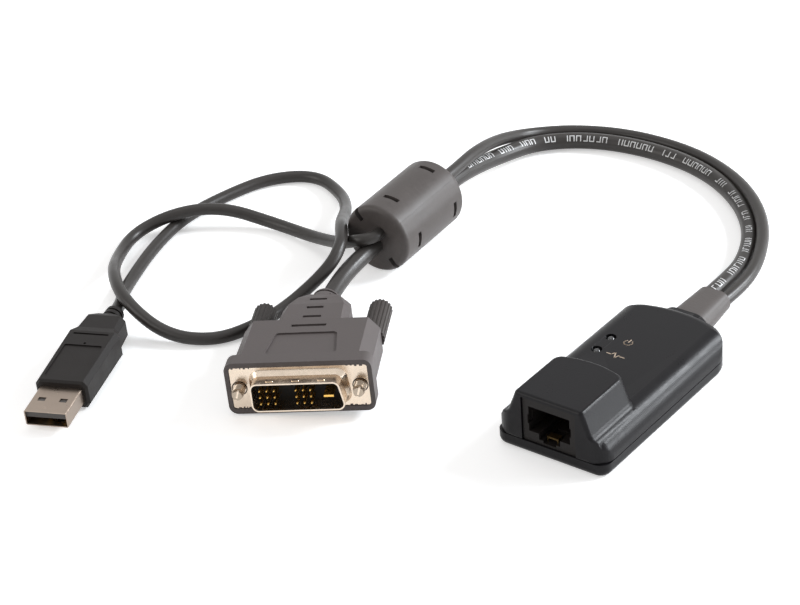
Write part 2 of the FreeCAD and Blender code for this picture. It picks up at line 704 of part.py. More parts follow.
def ground_blade():
    return box(BLADE_X - BLADE_WIDTH / 2, BLADE_X + BLADE_WIDTH / 2, 0.3 - SHIELD_REACH, 3.0,
               -BLADE_THICKNESS / 2, BLADE_THICKNESS / 2)


def hood_bar(y, half, top):
    return box(-half, half, y - 0.6, y + 0.6, top - 0.5, top + 1)


def video_hood():
    """Moulded hood: front frame, wide body with cut-off edges, neck and slotted relief."""
    frame = rounded_slab(FRAME_WIDTH, FRAME_HEIGHT, FRAME_ROUND, -0.3, FRAME_DEPTH)
    body = Part.makeLoft([octagon(BODY_HALF + 0.2, BODY_HEIGHT + 0.1, 2.9, 3.4, 3.0),
                          octagon(BODY_HALF, BODY_HEIGHT, 2.9, 3.4, BODY_END)], True, True)
    neck = Part.makeLoft([octagon(9.6, BODY_HEIGHT, 1.4, 1.6, BODY_END - 3),
                          octagon(9.3, 6.4, 1.8, 2.0, 33.0),
                          octagon(8.4, 5.8, 2.6, 2.6, NECK_END - 3.2),
                          octagon(5.9, 4.9, 2.4, 2.4, NECK_END)], True, True)
    relief = taper(RELIEF_RADIUS, RELIEF_TIP_RADIUS, V(0, NECK_END - 1, 0),
                   RELIEF_END - NECK_END + 1)
    hood = joined([frame, body, neck, relief])
    hood = hood.cut(rounded_slab(PLATE_WIDTH + 2 * FIT, PLATE_HEIGHT + 2 * FIT, 0.8,
                                 -0.3, PLATE_THICKNESS))
    hood = hood.cut(shield_block(0, PLATE_THICKNESS, PLATE_THICKNESS + 3.0))
    for side in (-1, 1):
        bore = rod(THUMB_SHANK_RADIUS + THUMB_RUNNING, V(side * THUMB_X, 0, 0), BODY_END)
        hood = hood.cut(bore)
    for face in (-1, 1):
        low = face * BODY_HEIGHT - 0.4
        plan = [(-9.6, 5.4, low), (9.6, 5.4, low), (8.2, 16.4, low), (-8.2, 16.4, low)]
        panel = prism(plan, V(0, 0, 0.8))
        hood = hood.cut(panel.makeFillet(1.2, edges_along(panel, UP)))
    for y, half, top in ((20.2, 4.7, BODY_HEIGHT), (25.4, 2.5, 6.7), (30.8, 2.3, 6.45),
                         (36.2, 2.4, 5.95)):
        hood = hood.cut(hood_bar(y, half, top))
        hood = hood.cut(hood_bar(y, half, top).mirror(V(0, 0, 0), UP))
    for y, angle in ((42.6, 0), (44.6, 90)):
        for turn in (angle, angle + 180):
            hood = hood.cut(relief_slot(y, turn))
    return hood


def relief_slot(y, angle):
    start = V(0, y - 0.5, 0)
    slot = Part.makeCylinder(RELIEF_RADIUS + 1, 1.0, start, ALONG_Y, 130)
    slot = slot.cut(rod(RELIEF_TIP_RADIUS - 0.8, start, 1.0))
    slot.rotate(V(0, 0, 0), ALONG_Y, -angle - 155)
    return slot


def thumb_screw(side):
    """Steel screw: tip that threads in, run-out groove and a shank that ends in the knob."""
    x = side * THUMB_X
    tip = taper(THUMB_THREAD_RADIUS * 0.75, THUMB_THREAD_RADIUS, V(x, -THUMB_TIP, 0), 0.4)
    thread = rod(THUMB_THREAD_RADIUS, V(x, 0.4 - THUMB_TIP, 0), THUMB_TIP - 0.4 - THUMB_GROOVE)
    groove = rod(THUMB_THREAD_RADIUS - 0.25, V(x, -THUMB_GROOVE, 0), THUMB_GROOVE)
    shank = rod(THUMB_SHANK_RADIUS, V(x, 0, 0), BODY_END + KNOB_GAP + KNOB_GRIP)
    return joined([tip, thread, groove, shank])


def thumb_knob(side):
    """Fluted grip pressed on the screw."""
    start = V(side * THUMB_X, BODY_END + KNOB_GAP, 0)
    knob = rod(KNOB_RADIUS, start, KNOB_LENGTH)
    for index in range(KNOB_FLUTES):
        angle = 2 * math.pi * index / KNOB_FLUTES
        offset = V(math.cos(angle), 0, math.sin(angle)) * (KNOB_RADIUS + 0.1)
        knob = knob.cut(rod(0.36, start + offset, KNOB_LENGTH))
    return knob.cut(rod(THUMB_SHANK_RADIUS, start, KNOB_GRIP))


# ---------------------------------------------------------------- USB plug


def usb_shell():
    """Folded metal sleeve, open at the mouth, with four windows for the socket's springs."""
    length = USB_REACH + USB_INSERT
    shell = rounded_slab(USB_WIDTH, USB_HEIGHT, 0.5, 0, length)
    inner = box(USB_METAL - USB_WIDTH / 2, USB_WIDTH / 2 - USB_METAL, 0, length,
                USB_METAL - USB_HEIGHT / 2, USB_HEIGHT / 2 - USB_METAL)
    shell = shell.cut(inner)
    for side in (-1, 1):
        x = side * 3.05
        shell = shell.cut(box(x - 1.05, x + 1.05, 4.8, 6.4, -USB_HEIGHT, USB_HEIGHT))
    return shell


def usb_tongue():
    """Contact carrier: a tongue along the upper wall and a plug behind it."""
    half = USB_WIDTH / 2 - USB_METAL
    top = USB_HEIGHT / 2 - USB_METAL
    tongue = box(-half, half, 0.5, USB_REACH, top - 1.85, top)
    tongue = tongue.cut(box(-half, half, 0.5, USB_REACH, top - 0.05, top))
    back = box(-half, half, USB_REACH - 0.5, USB_REACH + USB_INSERT, -top, top)
    return joined([tongue, back])


def usb_contacts():
    under = USB_HEIGHT / 2 - USB_METAL - 1.85
    strips = []
    for x in (-3.5, -1.0, 1.0, 3.5):
        strips.append(box(x - 0.5, x + 0.5, 1.5, USB_REACH - 0.5, under - 0.2, under))
    return Part.makeCompound(strips)


def usb_overmould():
    """Grip with cut-off edges, a waist and a ringed relief."""
    grip = Part.makeLoft([
        octagon(USB_GRIP_HALF - 0.6, USB_GRIP_HEIGHT - 0.6, 1.0, 1.2, USB_REACH),
        octagon(USB_GRIP_HALF, USB_GRIP_HEIGHT - 0.1, 1.1, 1.5, USB_REACH + 0.7),
        octagon(USB_GRIP_HALF + 0.2, USB_GRIP_HEIGHT, 1.1, 1.5, USB_WAIST_Y),
        octagon(USB_GRIP_HALF - 1.1, USB_GRIP_HEIGHT - 0.4, 1.1, 1.5, USB_WAIST_Y + 2.4),
        octagon(USB_GRIP_HALF - 1.5, USB_GRIP_HEIGHT - 0.5, 1.2, 1.5, USB_BODY_END - 1.6),
        octagon(3.6, 3.2, 1.2, 1.2, USB_BODY_END)], True, True)
    relief = taper(USB_RELIEF_RADIUS, USB_RELIEF_RADIUS - 0.4, V(0, USB_BODY_END - 1, 0),
                   USB_RELIEF_END - USB_BODY_END + 1)
    grip = joined([grip, relief])
    grip = grip.cut(rounded_slab(USB_WIDTH, USB_HEIGHT, 0.5, 0, USB_REACH + USB_INSERT))
    for face in (-1, 1):
        level = face * USB_GRIP_HEIGHT
        panel = box(-5.45, 5.45, 13.8, 28.6, level - 0.35, level + 0.35)
        grip = grip.cut(panel.makeFillet(0.6, edges_along(panel, UP)))
        grip = grip.cut(box(-5.1, 5.1, 33.5, 34.2, level - 0.35, level + 0.35))
    grip = grip.cut(rod(0.4, V(0, 29.4, USB_GRIP_HEIGHT - 0.4), 1, UP))
    for y in (46.9, 48.9):
        ring = rod(USB_RELIEF_RADIUS + 1, V(0, y - 0.35, 0), 0.7)
        grip = grip.cut(ring.cut(rod(USB_RELIEF_RADIUS - 0.7, V(0, y - 0.35, 0), 0.7)))
    return grip


# ---------------------------------------------------------------- placing and cables


def turned(shape, yaw, tilt, roll):
    for axis, angle in ((ALONG_Y, roll), (V(1, 0, 0), tilt), (UP, yaw)):
        shape.rotate(V(0, 0, 0), axis, angle)
    return shape


def set_down(parts, at, yaw, tilt, roll):
    """Turn a plug's parts together and stand the lowest of them on the table."""
    for shape in parts.values():
        turned(shape, yaw, tilt, roll)
    lowest = min(lowest_point(shape) for shape in parts.values())
    for shape in parts.values():
        shape.translate(V(at[0], at[1], -lowest))
    print("plug axis height", round(-lowest, 3))


def lowest_point(shape):
    return min(vertex.Z for vertex in shape.Vertexes)


def cable(route, diameter, name):
    """Tube of straight runs joined by arcs, each as large as its two runs allow."""
    points = [V(*point) for point in route]
    edges = []
    radii = []
    start = points[0]
    for before, corner, after in zip(points, points[1:], points[2:]):
        run_in = (corner - before).normalize()
        run_out = (after - corner).normalize()
        half_turn = run_in.getAngle(run_out) / 2
        reach = ARC_SHARE * min((corner - before).Length, (after - corner).Length)
        radius = reach / math.tan(half_turn)
        bisector = (run_out - run_in).normalize()
        arc_start = corner - run_in * reach
        arc_end = corner + run_out * reach
        arc_middle = corner + bisector * (radius / math.cos(half_turn) - radius)
        edges.append(Part.LineSegment(start, arc_start).toShape())
        edges.append(Part.Arc(arc_start, arc_middle, arc_end).toShape())
        radii.append(radius)
        start = arc_end
    edges.append(Part.LineSegment(start, points[-1]).toShape())
    path = Part.Wire(edges)
    ring = Part.Circle(points[0], points[1] - points[0], diameter / 2).toShape()
    tube = path.makePipeShell([Part.Wire(ring)], True, True)
    section = math.pi * diameter * diameter / 4
    print(name, "length", round(path.Length, 1),
          "volume ratio", round(tube.Volume / (section * path.Length), 4))
    print(name, "radii", [round(radius, 1) for radius in radii])
    return tube


def pod_parts():
    return {
        "upper_shell": upper_shell(),
        "lower_shell": lower_shell(),
        "shell_screws": shell_screws(),
        "circuit_board": circuit_board(),
        "jack_housing": jack_housing(),
        "jack_contacts": jack_contacts(),
        "jack_ground_clip": jack_ground_clip(),
        "line_transformer": line_transformer(),
        "main_chip": main_chip(),
        "memory_chip": memory_chip(),
        "crystal": crystal(),
        "wire_header": wire_header(),
        "power_led": status_led(POWER_LED_Y),
        "active_led": status_led(ACTIVE_LED_Y),
        "cable_sleeve": cable_sleeve(),
    }


def video_plug_parts():
    return {
        "video_hood": video_hood(),
        "video_shield": video_shield(),
        "video_insulator": video_insulator(),
        "video_pins": video_pins(),
        "video_ground_blade": ground_blade(),
        "left_screw": thumb_screw(-1),
        "right_screw": thumb_screw(1),
        "left_knob": thumb_knob(-1),
        "right_knob": thumb_knob(1),
    }


def usb_plug_parts():
    return {
        "usb_overmould": usb_overmould(),
        "usb_shell": usb_shell(),
        "usb_tongue": usb_tongue(),
        "usb_contacts": usb_contacts(),
    }


def build():
    parts = pod_parts()
    video_parts = video_plug_parts()
    usb_parts = usb_plug_parts()
    set_down(video_parts, VIDEO_AT, VIDEO_YAW, VIDEO_TILT, VIDEO_ROLL)
    set_down(usb_parts, USB_AT, USB_YAW, USB_TILT, USB_ROLL)
    parts.update(video_parts)
    parts.update(usb_parts)
    parts["ferrite_core"] = ferrite_core()
    parts["ferrite_jacket"] = ferrite_jacket()
    parts["usb_cable"] = cable(USB_ROUTE, USB_CABLE, "usb_cable")
    parts["video_cable"] = cable(VIDEO_ROUTE, VIDEO_CABLE, "video_cable")
    for name in ("cable_sleeve", "ferrite_jacket"):
        parts[name] = parts[name].cut(parts["usb_cable"]).cut(parts["video_cable"])
    parts["video_hood"] = parts["video_hood"].cut(parts["video_cable"])
    parts["usb_overmould"] = parts["usb_overmould"].cut(parts["usb_cable"])
    return parts


os.makedirs("parts", exist_ok=True)
for part_name, part_shape in build().items():
    part_shape.exportStep("parts/" + part_name + ".step")
    print(part_name, len(part_shape.Solids), round(part_shape.Volume, 2), part_shape.isValid())
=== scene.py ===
import json
import math
import random

import bmesh
import bpy
from mathutils import Matrix, Quaternion, Vector


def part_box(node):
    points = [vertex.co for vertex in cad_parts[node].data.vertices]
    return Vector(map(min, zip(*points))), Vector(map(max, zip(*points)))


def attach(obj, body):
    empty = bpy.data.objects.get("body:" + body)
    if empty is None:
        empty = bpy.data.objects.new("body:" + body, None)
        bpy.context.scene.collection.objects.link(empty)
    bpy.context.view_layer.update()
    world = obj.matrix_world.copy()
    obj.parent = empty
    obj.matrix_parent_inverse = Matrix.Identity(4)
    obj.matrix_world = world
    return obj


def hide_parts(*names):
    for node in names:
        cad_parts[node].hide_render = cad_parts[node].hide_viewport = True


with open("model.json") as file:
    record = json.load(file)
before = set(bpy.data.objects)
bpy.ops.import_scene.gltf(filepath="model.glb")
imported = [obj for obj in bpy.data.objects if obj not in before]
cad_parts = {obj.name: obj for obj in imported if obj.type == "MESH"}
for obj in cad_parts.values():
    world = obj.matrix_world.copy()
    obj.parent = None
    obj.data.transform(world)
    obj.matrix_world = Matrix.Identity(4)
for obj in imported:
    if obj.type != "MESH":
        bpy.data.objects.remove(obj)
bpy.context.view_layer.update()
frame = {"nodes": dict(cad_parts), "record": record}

MM = 0.001
NODES = frame["nodes"]

# Camera, in the row frame: angles in degrees, lens and sensor in millimetres
CAMERA_AIM = Vector((-77.8, 9.2, 0.0)) * MM
CAMERA_DISTANCE = 720 * MM
CAMERA_TURN = 38.81
CAMERA_HEIGHT = 31.4
CAMERA_ROLL = -4.2
CAMERA_LENS = 117
SENSOR = 36

# Cords: diameters in metres, and the points of their curves in millimetres
USB_DIAMETER = 3.57 * MM
VIDEO_DIAMETER = 4.95 * MM
USB_ROUTE = [
    (1.45, 46.8, 4.2), (2.6, 58.0, 4.5), (-0.6, 73.0, 4.8), (-8.6, 89.4, 5.3),
    (-21.4, 103.7, 5.0), (-38.3, 115.7, 3.2), (-56.0, 122.2, 1.8), (-74.5, 121.6, 1.8),
    (-90.0, 115.6, 1.9), (-99.2, 104.0, 3.6), (-99.6, 89.0, 8.4), (-97.0, 74.0, 12.2),
    (-94.99, 61.0, 12.85), (-93.98, 47.6, 12.85), (-91.95, 20.6, 12.85),
    (-91.72, 17.6, 12.85), (-93.25, 14.9, 12.7), (-96.2, 13.9, 11.9),
    (-101.0, 15.2, 9.3), (-108.0, 18.2, 6.0), (-119.0, 21.8, 2.8), (-133.5, 23.6, 1.8),
    (-148.5, 18.0, 5.9), (-158.5, 8.4, 5.9), (-165.8, -2.0, 2.2), (-160.5, -15.5, 2.4),
    (-148.9, -29.7, 7.7), (-135.8, -39.2, 7.7), (-120.5, -40.6, 2.4), (-107.5, -35.0, 1.8),
    (-102.6, -22.5, 1.8), (-101.0, -9.5, 2.4), (-95.4, 1.5, 10.0), (-97.0, 9.5, 13.6),
    (-103.2, 16.8, 13.0), (-109.2, 24.5, 9.6), (-117.0, 36.5, 5.0), (-127.0, 47.0, 2.0),
    (-141.0, 53.0, 1.8), (-152.5, 44.5, 1.8), (-157.2, 29.5, 1.8), (-159.6, 12.5, 1.8),
    (-155.8, -5.0, 1.8), (-150.2, -20.0, 1.8), (-145.6, -29.8, 2.4), (-138.8, -37.8, 5.0),
    (-135.0, -46.7, 5.4),
]
VIDEO_ROUTE = [
    (-2.95, 46.8, 4.2), (-3.0, 58.0, 4.0), (-5.0, 72.5, 2.8), (-12.6, 89.5, 2.5),
    (-25.9, 103.6, 2.5), (-43.0, 112.9, 2.5), (-62.2, 115.6, 2.5), (-80.9, 112.3, 2.5),
    (-94.6, 102.4, 2.6), (-97.6, 87.0, 4.4), (-97.5, 72.0, 7.2), (-96.7, 61.0, 8.45),
    (-95.87, 50.0, 8.45), (-94.0, 25.2, 8.45), (-93.06, 12.6, 8.45), (-91.8, 0.0, 7.2),
    (-87.55, -11.4, 6.6),
]

# Plugs, ferrite and pod: places and sizes in millimetres, turns in degrees about Z, X and Y
VIDEO_AT = (-66.3, -48.75, 8.871)
VIDEO_TURNS = (29.61, -3.0, -3.0)
USB_AT = (-118.5, -89.7, 4.002)
USB_TURNS = (20.99, 1.5, -2.0)
FERRITE_TURNS = (4.3, 0.0, 0.0)
FERRITE_RADIUS = 10.25
POD_TOP = 10.9
POD_HALF = (16.5, 32.75)
FRONT_CORNER = 4.8
SCREW_X = 15.9

# Shading: edges sharper than these angles stay sharp
SHARP_ANGLE = math.radians(35)
SHELL_SHARP_ANGLE = math.radians(30)


# ---------------------------------------------------------------- node helpers


def linear(red, green, blue):
    """Colour from display values of 0 to 255."""
    def one(value):
        share = value / 255
        return share / 12.92 if share <= 0.04045 else ((share + 0.055) / 1.055) ** 2.4
    return one(red), one(green), one(blue), 1.0


def feed(tree, socket, value):
    """Gives an input a constant, or links it to the socket that feeds it."""
    if isinstance(value, bpy.types.NodeSocket):
        tree.links.new(value, socket)
    else:
        socket.default_value = value


def add(tree, kind, **inputs):
    """New node, with its inputs set by name."""
    node = tree.nodes.new(kind)
    for name, value in inputs.items():
        feed(tree, node.inputs[name.replace("_", " ")], value)
    return node


def new_group(name, inputs, outputs):
    """Empty node group with its sockets."""
    tree = bpy.data.node_groups.new(name, "ShaderNodeTree")
    for label, kind, value in inputs:
        socket = tree.interface.new_socket(label, in_out="INPUT", socket_type=kind)
        if value is not None:
            socket.default_value = value
    for label, kind in outputs:
        tree.interface.new_socket(label, in_out="OUTPUT", socket_type=kind)
    return tree, tree.nodes.new("NodeGroupInput"), tree.nodes.new("NodeGroupOutput")


FLOAT = "NodeSocketFloat"
COLOR = "NodeSocketColor"
VECTOR = "NodeSocketVector"


def math_node(tree, operation, a, b=0.0):
    """Output of a sum on two values or sockets."""
    node = tree.nodes.new("ShaderNodeMath")
    node.operation = operation
    for socket, value in zip(node.inputs, (a, b)):
        feed(tree, socket, value)
    return node.outputs[0]


GRAIN_HEIGHT = 0.05 * MM
BROAD_SCALE = 160.0
NOISE_ROUGHNESS = 0.6
NOISE_MIDDLE = 0.5
FINE_SHARE = 0.6
ROUGHNESS_SWING = 0.25


def make_grain_group():
    """Fine moulded grain: a normal, a slight shift of colour and of roughness."""
    tree, given, result = new_group(
        "moulded_grain",
        [("Place", VECTOR, None), ("Colour", COLOR, (0.1, 0.1, 0.1, 1)),
         ("Size", FLOAT, 2500.0), ("Depth", FLOAT, 0.1), ("Mottle", FLOAT, 0.1),
         ("Roughness", FLOAT, 0.5)],
        [("Colour", COLOR), ("Roughness", FLOAT), ("Normal", VECTOR)])
    fine = add(tree, "ShaderNodeTexNoise", Vector=given.outputs["Place"],
               Scale=given.outputs["Size"], Detail=2.0, Roughness=NOISE_ROUGHNESS)
    broad = add(tree, "ShaderNodeTexNoise", Vector=given.outputs["Place"],
                Scale=BROAD_SCALE, Detail=3.0, Roughness=NOISE_ROUGHNESS)
    bump = add(tree, "ShaderNodeBump", Strength=given.outputs["Depth"], Distance=GRAIN_HEIGHT,
               Height=fine.outputs["Fac"])
    swing = math_node(tree, "SUBTRACT", broad.outputs["Fac"], NOISE_MIDDLE)
    fine_swing = math_node(tree, "SUBTRACT", fine.outputs["Fac"], NOISE_MIDDLE)
    both = math_node(tree, "ADD", swing, math_node(tree, "MULTIPLY", fine_swing, FINE_SHARE))
    level = math_node(tree, "MULTIPLY", both, given.outputs["Mottle"])
    level = math_node(tree, "ADD", level, 1.0)
    tint = tree.nodes.new("ShaderNodeVectorMath")
    tint.operation = "SCALE"
    tree.links.new(given.outputs["Colour"], tint.inputs[0])
    tree.links.new(level, tint.inputs["Scale"])
    rough = math_node(tree, "ADD", given.outputs["Roughness"],
                      math_node(tree, "MULTIPLY", both, ROUGHNESS_SWING))
    tree.links.new(tint.outputs[0], result.inputs["Colour"])
    tree.links.new(rough, result.inputs["Roughness"])
    tree.links.new(bump.outputs["Normal"], result.inputs["Normal"])
    return tree


GRAIN = make_grain_group()


def grained(name, colour, roughness, size, depth, mottle, specular=0.5, metallic=0.0):
    """Principled material with the grain over its colour, roughness and normal."""
    material = bpy.data.materials.new(name)
    material.use_nodes = True
    material.diffuse_color = colour
    tree = material.node_tree
    shader = tree.nodes["Principled BSDF"]
    for label, value in (("Base Color", colour), ("Roughness", roughness),
                         ("Metallic", metallic), ("Specular IOR Level", specular)):
        shader.inputs[label].default_value = value
    grain = tree.nodes.new("ShaderNodeGroup")
    grain.node_tree = GRAIN
    place = tree.nodes.new("ShaderNodeTexCoord").outputs["Object"]
    for label, value in (("Place", place), ("Colour", colour), ("Size", size),
                         ("Depth", depth), ("Mottle", mottle), ("Roughness", roughness)):
        feed(tree, grain.inputs[label], value)
    for output, label in (("Colour", "Base Color"), ("Roughness", "Roughness"),
                          ("Normal", "Normal")):
        tree.links.new(grain.outputs[output], shader.inputs[label])
    return material


def moulded(name, colour, roughness, size=2500.0, depth=0.25, mottle=0.25, specular=0.5):
    """Moulded plastic or rubber with a fine grain."""
    return grained(name, colour, roughness, size, depth, mottle, specular)


def plated(name, colour, roughness, size=1500.0, depth=0.1, mottle=0.15):
    """Plated metal with faint unevenness."""
    return grained(name, colour, roughness, size, depth, mottle, metallic=1.0)


# ---------------------------------------------------------------- materials

POD = moulded("pod_plastic", linear(23, 22, 24), 0.34, size=2200.0, depth=0.3, specular=0.15)
JACK = moulded("jack_plastic", linear(24, 21, 20), 0.5, specular=0.2)
BLACK = moulded("insulator_plastic", linear(10, 9, 9), 0.45, specular=0.15)
HOOD = moulded("hood_plastic", linear(88, 82, 81), 0.5, size=1800.0, depth=0.35, specular=0.2)
GRIP = moulded("plug_plastic", linear(34, 31, 30), 0.45, specular=0.15)
KNOB = moulded("knob_plastic", linear(62, 57, 55), 0.45, specular=0.2)
# Copy of the knob plastic, darkened as painted shade for the left knob, which lies in shadow
SHADED_KNOB = moulded("shaded_knob_plastic", linear(50, 46, 44), 0.45, specular=0.2)
FERRITE = moulded("ferrite_plastic", linear(80, 75, 73), 0.4, size=900.0, depth=0.4, mottle=0.35,
                  specular=0.22)
SLEEVE = moulded("sleeve_rubber", linear(82, 77, 75), 0.42, size=1300.0, depth=0.6, specular=0.25)
JACKET = moulded("cable_jacket", linear(52, 49, 47), 0.36, size=1400.0, depth=0.15, specular=0.3)
PRINT = moulded("print_ink", linear(206, 206, 206), 0.6, depth=0.1)
ICON = moulded("icon_ink", linear(168, 150, 132), 0.6, depth=0.1)
NICKEL = plated("nickel_plate", linear(214, 198, 180), 0.24, size=1100.0, depth=0.45, mottle=0.3)
SMOOTH_NICKEL = plated("smooth_nickel", linear(156, 142, 130), 0.32, size=700.0, depth=0.06,
                       mottle=0.1)
STEEL = plated("screw_steel", linear(160, 147, 132), 0.24)
GOLD = plated("gold_contact", linear(222, 178, 96), 0.25)
# Brass of the jack's ground clip, its colour darkened as painted shade for its place deep in the
# jack's opening
BRASS = plated("brass_clip", linear(88, 72, 46), 0.4)
BOARD = moulded("board_green", linear(26, 74, 48), 0.3)
CHIP = moulded("chip_plastic", linear(22, 22, 24), 0.5)
LENS = moulded("led_lens", linear(44, 44, 46), 0.06, depth=0.0, specular=0.8)
TONGUE = moulded("tongue_plastic", linear(82, 79, 77), 0.5, specular=0.25)
CORE = moulded("ferrite_ceramic", linear(50, 48, 48), 0.6)

SLOT_MATERIALS = {
    "pod_plastic": POD, "jack_plastic": JACK, "insulator_plastic": BLACK, "hood_plastic": HOOD,
    "plug_plastic": GRIP, "knob_plastic": KNOB, "ferrite_plastic": FERRITE, "sleeve_rubber": SLEEVE,
    "cable_jacket": JACKET, "nickel_plate": NICKEL, "screw_steel": STEEL, "gold_contact": GOLD,
    "brass_clip": BRASS, "board_green": BOARD, "chip_plastic": CHIP, "led_lens": LENS,
    "ferrite_ceramic": CORE,
}
# The left knob takes the darker copy of the knob plastic, which is painted shade
NODE_MATERIALS = {"usb_shell": SMOOTH_NICKEL, "usb_tongue": TONGUE, "left_knob": SHADED_KNOB}
for subpart in frame["record"]["subparts"]:
    name, slot = subpart["node"], subpart["material_slot"]
    node = NODES[name]
    node.data.materials.clear()
    node.data.materials.append(NODE_MATERIALS.get(name, SLOT_MATERIALS[slot]))


# ---------------------------------------------------------------- cords


def show(name, data):
    """New object in the scene."""
    made = bpy.data.objects.new(name, data)
    bpy.context.scene.collection.objects.link(made)
    return made


def make_cord(name, node, route, diameter, material):
    """Round cord along a route in millimetres, in place of a CAD node."""
    curve = bpy.data.curves.new(name, "CURVE")
    curve.dimensions = "3D"
    spline = curve.splines.new("NURBS")
    spline.points.add(len(route) - 1)
    for point, place in zip(spline.points, route):
        point.co = (*(Vector(place) * MM), 1.0)
    spline.order_u = 3
    spline.use_endpoint_u = True
    curve.resolution_u = 16
    curve.bevel_depth = diameter / 2
    curve.bevel_resolution = 8
    curve.use_fill_caps = True
    curve.materials.append(material)
    cord = show(name, curve)
    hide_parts(node)
    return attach(cord, "root")


usb_cord = make_cord("usb_cord", "usb_cable", USB_ROUTE, USB_DIAMETER, JACKET)
video_cord = make_cord("video_cord", "video_cable", VIDEO_ROUTE, VIDEO_DIAMETER, JACKET)


# ---------------------------------------------------------------- small pieces


def own_axes(at, turns):
    """From a piece's own axes in millimetres to the row frame in metres."""
    yaw, tilt, roll = (math.radians(angle) for angle in turns)
    turn = (Matrix.Rotation(yaw, 4, "Z") @ Matrix.Rotation(tilt, 4, "X")
            @ Matrix.Rotation(roll, 4, "Y"))
    return Matrix.Translation(Vector(at) * MM) @ turn @ Matrix.Scale(MM, 4)


def middle(node):
    """Middle of a node's box, in millimetres."""
    low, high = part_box(node)
    return (Vector(low) + Vector(high)) / 2 / MM


POD_AXES = Matrix.Scale(MM, 4)
VIDEO_AXES = own_axes(VIDEO_AT, VIDEO_TURNS)
USB_AXES = own_axes(USB_AT, USB_TURNS)
FERRITE_AXES = own_axes(middle("ferrite_jacket"), FERRITE_TURNS)


def to_mesh(build, name):
    mesh = bpy.data.meshes.new(name)
    build.to_mesh(mesh)
    build.free()
    return mesh


def finish_piece(build, name, material, axes=POD_AXES, body="root", turn_out=True):
    """Puts a modelled form in its place as a piece that rides on a body."""
    bmesh.ops.transform(build, matrix=axes, verts=build.verts)
    if turn_out:
        bmesh.ops.recalc_face_normals(build, faces=build.faces)
    mesh = to_mesh(build, name)
    mesh.materials.append(material)
    mesh.shade_smooth()
    mesh.set_sharp_from_angle(angle=SHARP_ANGLE)
    piece = show(name, mesh)
    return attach(piece, body)


def round_edges(build, edges, offset, segments):
    bmesh.ops.bevel(build, geom=edges, offset=offset, offset_type="OFFSET", segments=segments,
                    profile=0.5, affect="EDGES", material=-1)


def edges_of(verts):
    return list({edge for vert in verts for edge in vert.link_edges})


def add_block(build, low, high, bevel=0.0):
    """Block between two corners, with its edges rounded if asked."""
    low, high = Vector(low), Vector(high)
    place = Matrix.Translation((low + high) / 2) @ Matrix.Diagonal((*(high - low), 1.0))
    made = bmesh.ops.create_cube(build, size=1.0, matrix=place)
    if bevel:
        round_edges(build, edges_of(made["verts"]), bevel, 2)


INK = 0.04
LINE = 0.34
BAR_OVERLAP = 0.7
RING_RADIUS = 1.15
RING_ANGLES = range(40, 321, 20)
RING_STROKE = (0.2, 1.5)
PULSE = ((-2.6, 0), (-1.2, 0), (-0.6, 1.2), (0.3, -1.1), (0.9, 0.45), (1.2, 0), (2.6, 0))


def add_strip(build, points):
    """Printed line through points on the pod's top, as joined flat bars."""
    for start, end in zip(points, points[1:]):
        start, end = Vector((*start, 0)), Vector((*end, 0))
        along = end - start
        turn = Matrix.Rotation(math.atan2(along.y, along.x), 4, "Z")
        size = Matrix.Diagonal((along.length + LINE * BAR_OVERLAP, LINE, INK, 1.0))
        place = Matrix.Translation((start + end) / 2 + Vector((0, 0, POD_TOP + INK / 4)))
        bmesh.ops.create_cube(build, size=1.0, matrix=place @ turn @ size)


def make_power_icon(x, y):
    """Open ring with a stroke at its gap."""
    build = bmesh.new()
    turns = [math.radians(angle) for angle in RING_ANGLES]
    ring = [(x + RING_RADIUS * math.sin(turn), y + RING_RADIUS * math.cos(turn)) for turn in turns]
    add_strip(build, ring)
    add_strip(build, [(x, y + end) for end in RING_STROKE])
    return finish_piece(build, "power_icon", ICON)


def make_active_icon(x, y):
    """Pulse line."""
    build = bmesh.new()
    add_strip(build, [(x + across, y + up) for across, up in PULSE])
    return finish_piece(build, "active_icon", ICON)


make_power_icon(-3.4, 9.75)
make_active_icon(-3.0, 2.95)


def line_of(cord):
    """Points and lengths along a cord's own spline."""
    curve = cord.data.copy()
    curve.bevel_depth = 0
    holder = bpy.data.objects.new("bare_line", curve)
    mesh = bpy.data.meshes.new_from_object(holder)
    points = [vert.co.copy() for vert in mesh.vertices]
    bpy.data.meshes.remove(mesh)
    bpy.data.objects.remove(holder)
    bpy.data.curves.remove(curve)
    lengths = [0.0]
    for start, end in zip(points, points[1:]):
        lengths.append(lengths[-1] + (end - start).length)
    return points, lengths


def along_line(points, lengths, distance):
    """Place and direction at a distance along a line."""
    last = len(lengths) - 1
    index = next(i for i in range(1, last + 1) if lengths[i] >= distance or i == last)
    start, end = points[index - 1], points[index]
    share = (distance - lengths[index - 1]) / max(lengths[index] - lengths[index - 1], 1e-9)
    return start.lerp(end, share), (end - start).normalized()


PRINT_FACING = Vector((0.25, -0.62, 0.66))
PRINT_HEIGHT = 1.9 * MM
PRINT_STROKE = 0.3 * MM
PRINT_LIFT = 0.02 * MM
PRINT_SPAN = (4 * MM, 170 * MM)
PRINT_SEED = 7
GROUP_SIZES = (2, 3, 4, 6, 7)
GROUP_GAP = 3.0 * MM
BAR_AT = 0.65 * MM
BAR_WIDTH = 1.0 * MM
SECOND_STROKE_AT = 1.3 * MM
THIN_STEP = 1.1 * MM
WIDE_STEP = 2.1 * MM


def add_mark(build, line, distance, width, low, high):
    """One printed stroke, laid on the round jacket."""
    middle_point, tangent = along_line(*line, distance)
    outward = (PRINT_FACING - tangent * PRINT_FACING.dot(tangent)).normalized()
    across = outward.cross(tangent)
    reach = VIDEO_DIAMETER / 2 + PRINT_LIFT
    made = bmesh.ops.create_grid(build, x_segments=1, y_segments=3, size=0.5)
    for vert in made["verts"]:
        angle = (low + (vert.co.y + 0.5) * (high - low)) / reach
        turn = outward * math.cos(angle) + across * math.sin(angle)
        vert.co = middle_point + tangent * (vert.co.x * width) + turn * reach


